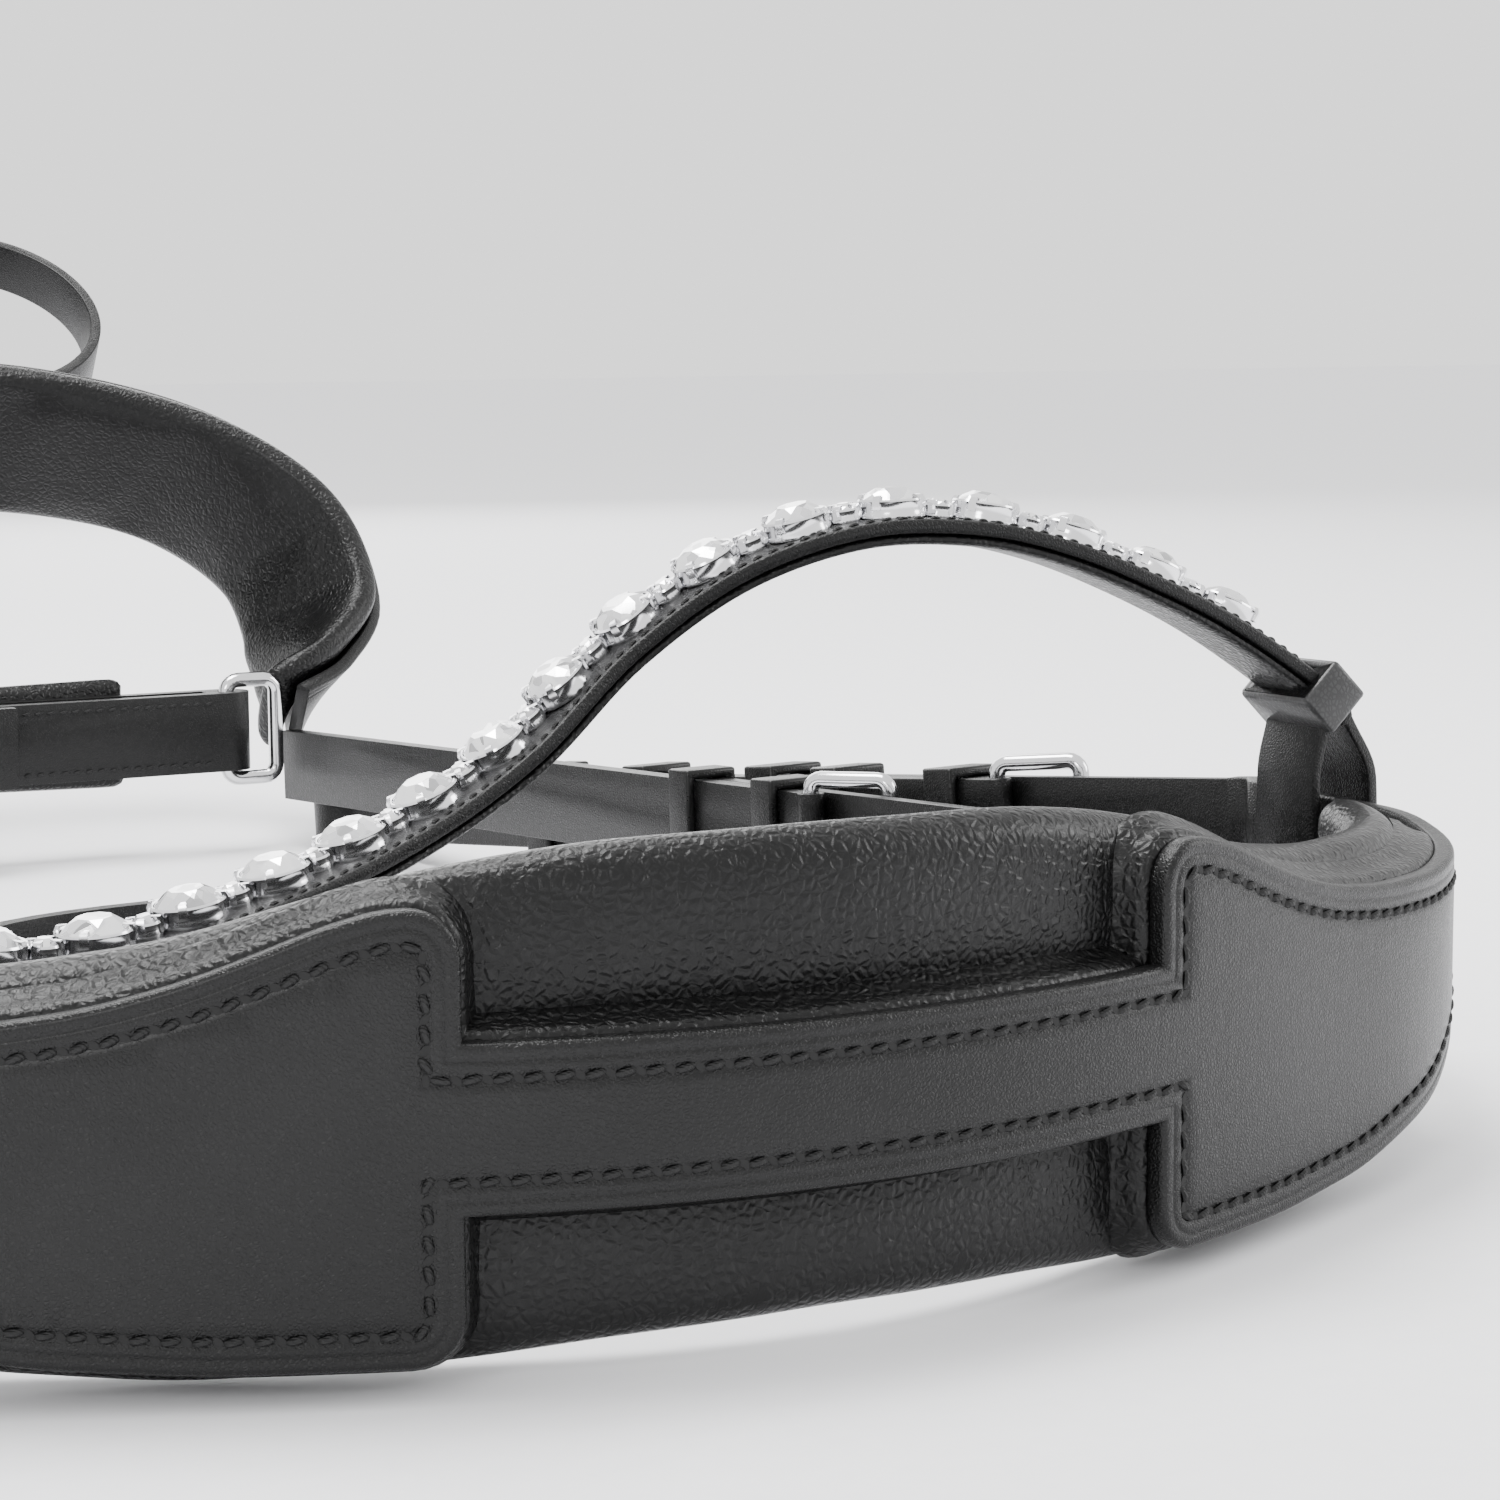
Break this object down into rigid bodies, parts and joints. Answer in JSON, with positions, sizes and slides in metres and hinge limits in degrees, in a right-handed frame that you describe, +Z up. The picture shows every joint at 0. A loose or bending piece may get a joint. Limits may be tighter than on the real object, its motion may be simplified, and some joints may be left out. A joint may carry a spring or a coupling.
{
  "type": "snaffle bridle",
  "caption": "Black leather snaffle bridle without bit: shaped padded headpiece, curved stone-set browband, cheekpieces, flash noseband and throatlatch, laid face up.",
  "frame": {"origin": "on the floor, at the middle of the bridle's length and width", "axes": "+Y from the poll to the nose, +Z up from the forehead side of the laid bridle, +X to the right"},
  "size_m": [0.2978, 0.5561, 0.1493],
  "materials": {
    "bridle_leather": "smooth black bridle leather, fine grain, satin",
    "lining_leather": "soft black padded leather with pebbled grain",
    "soft_leather": "soft black leather over a filler",
    "steel": "polished stainless steel",
    "crystal": "clear faceted glass stone with foil back"
  },
  "bodies": {
    "headpiece": {"headpiece_pad": "lining_leather", "headpiece_riser": "soft_leather", "headpiece_leather": "bridle_leather", "noseband_branch_left": "bridle_leather", "noseband_branch_right": "bridle_leather", "throat_branch_left": "bridle_leather", "throat_branch_right": "bridle_leather", "hanger_left": "bridle_leather", "hanger_right": "bridle_leather", "hanger_buckle_left": "steel", "hanger_buckle_right": "steel", "hanger_keepers_left": "bridle_leather", "hanger_keepers_right": "bridle_leather", "nose_ring_left": "steel", "nose_ring_right": "steel", "nose_pad": "lining_leather", "nose_leather": "bridle_leather", "jaw_strap": "bridle_leather", "jaw_pad": "lining_leather", "jaw_buckle": "steel", "jaw_keepers": "bridle_leather", "flash_tab": "bridle_leather"},
    "browband": {"browband_strap": "bridle_leather", "browband_lining": "lining_leather", "browband_loop_left": "bridle_leather", "browband_loop_right": "bridle_leather", "browband_keepers": "bridle_leather", "stone_settings": "steel", "large_stones": "crystal", "small_stones": "crystal"},
    "jaw_roller": {"jaw_roller": "steel"},
    "jaw_tongue": {"jaw_tongue": "steel"},
    "flash": {"flash_strap": "bridle_leather", "flash_buckle": "steel"},
    "flash_tongue": {"flash_tongue": "steel"},
    "flash_runner": {"flash_runner": "bridle_leather"},
    "throatlatch": {"throat_strap": "bridle_leather", "throat_points": "bridle_leather", "throat_buckles": "steel", "throat_keepers": "bridle_leather"},
    "cheek_left": {"cheek_point_left": "bridle_leather", "cheekpiece_left": "bridle_leather", "cheek_buckle_left": "steel", "cheek_keepers_left": "bridle_leather", "bit_billet_left": "bridle_leather", "hook_stud_left": "steel"},
    "cheek_tongue_left": {"cheek_tongue_left": "steel"},
    "cheek_runner_left": {"cheek_runner_left": "bridle_leather"},
    "hanger_tongue_left": {"hanger_tongue_left": "steel"},
    "throat_tongue_left": {"throat_tongue_left": "steel"},
    "cheek_right": {"cheek_point_right": "bridle_leather", "cheekpiece_right": "bridle_leather", "cheek_buckle_right": "steel", "cheek_keepers_right": "bridle_leather", "bit_billet_right": "bridle_leather", "hook_stud_right": "steel"},
    "cheek_tongue_right": {"cheek_tongue_right": "steel"},
    "cheek_runner_right": {"cheek_runner_right": "bridle_leather"},
    "hanger_tongue_right": {"hanger_tongue_right": "steel"},
    "throat_tongue_right": {"throat_tongue_right": "steel"}
  },
  "joints": [
    {"name": "browband_slide", "type": "slide", "parent": "headpiece", "child": "browband", "axis": [0, 1, 0], "range_m": [-0.003, 0.005]},
    {"name": "cheek_swing_left", "type": "hinge", "parent": "headpiece", "child": "cheek_left", "pos_m": [-0.1429, -0.1596, 0.038], "axis": [0, 0, 1], "range_deg": [0, 40]},
    {"name": "cheek_tongue_left_lift", "type": "hinge", "parent": "cheek_left", "child": "cheek_tongue_left", "pos_m": [-0.12942, -0.09922, 0.03206], "axis": [-0.0143, -0.0948, -0.9954], "range_deg": [0, 20]},
    {"name": "cheek_runner_left_slide", "type": "slide", "parent": "cheek_left", "child": "cheek_runner_left", "axis": [0.1488, 0.9842, -0.0958], "range_m": [-0.01, 0.03]},
    {"name": "hanger_tongue_left_lift", "type": "hinge", "parent": "headpiece", "child": "hanger_tongue_left", "pos_m": [-0.10587, -0.07198, 0.02775], "axis": [-0.0045, -0.0399, -0.9992], "range_deg": [0, 20]},
    {"name": "throat_tongue_left_lift", "type": "hinge", "parent": "throatlatch", "child": "throat_tongue_left", "pos_m": [-0.09867, -0.1443, 0.0116], "axis": [0, 0, -1], "range_deg": [0, 20]},
    {"name": "cheek_swing_right", "type": "hinge", "parent": "headpiece", "child": "cheek_right", "pos_m": [0.1429, -0.1596, 0.038], "axis": [0, 0, -1], "range_deg": [0, 40]},
    {"name": "cheek_tongue_right_lift", "type": "hinge", "parent": "cheek_right", "child": "cheek_tongue_right", "pos_m": [0.12942, -0.09922, 0.03206], "axis": [-0.0143, 0.0948, 0.9954], "range_deg": [0, 20]},
    {"name": "cheek_runner_right_slide", "type": "slide", "parent": "cheek_right", "child": "cheek_runner_right", "axis": [-0.1488, 0.9842, -0.0958], "range_m": [-0.01, 0.03]},
    {"name": "hanger_tongue_right_lift", "type": "hinge", "parent": "headpiece", "child": "hanger_tongue_right", "pos_m": [0.10587, -0.07198, 0.02775], "axis": [-0.0045, 0.0399, 0.9992], "range_deg": [0, 20]},
    {"name": "throat_tongue_right_lift", "type": "hinge", "parent": "throatlatch", "child": "throat_tongue_right", "pos_m": [0.09867, -0.1443, 0.0116], "axis": [0, 0, 1], "range_deg": [0, 20]},
    {"name": "jaw_roller_spin", "type": "hinge", "parent": "headpiece", "child": "jaw_roller", "pos_m": [-0.042, 0.1267, 0.0285], "axis": [0, 0, 1], "continuous": true},
    {"name": "jaw_tongue_lift", "type": "hinge", "parent": "headpiece", "child": "jaw_tongue", "pos_m": [-0.022, 0.1329, 0.0285], "axis": [0, 0, 1], "range_deg": [0, 20]},
    {"name": "flash_swing", "type": "hinge", "parent": "headpiece", "child": "flash", "pos_m": [0, 0.21912, 0.10234], "axis": [1, 0, 0], "range_deg": [-14, 12]},
    {"name": "flash_tongue_lift", "type": "hinge", "parent": "flash", "child": "flash_tongue", "pos_m": [0.038, 0.2704, 0.1408], "axis": [0, 0.6, -0.8], "range_deg": [0, 25]},
    {"name": "flash_runner_slide", "type": "slide", "parent": "flash", "child": "flash_runner", "axis": [1, 0, 0], "range_m": [-0.012, 0.01]},
    {"name": "throatlatch_swing", "type": "hinge", "parent": "headpiece", "child": "throatlatch", "pos_m": [0, -0.1668, 0.0116], "axis": [1, 0, 0], "range_deg": [0, 50]}
  ]
}
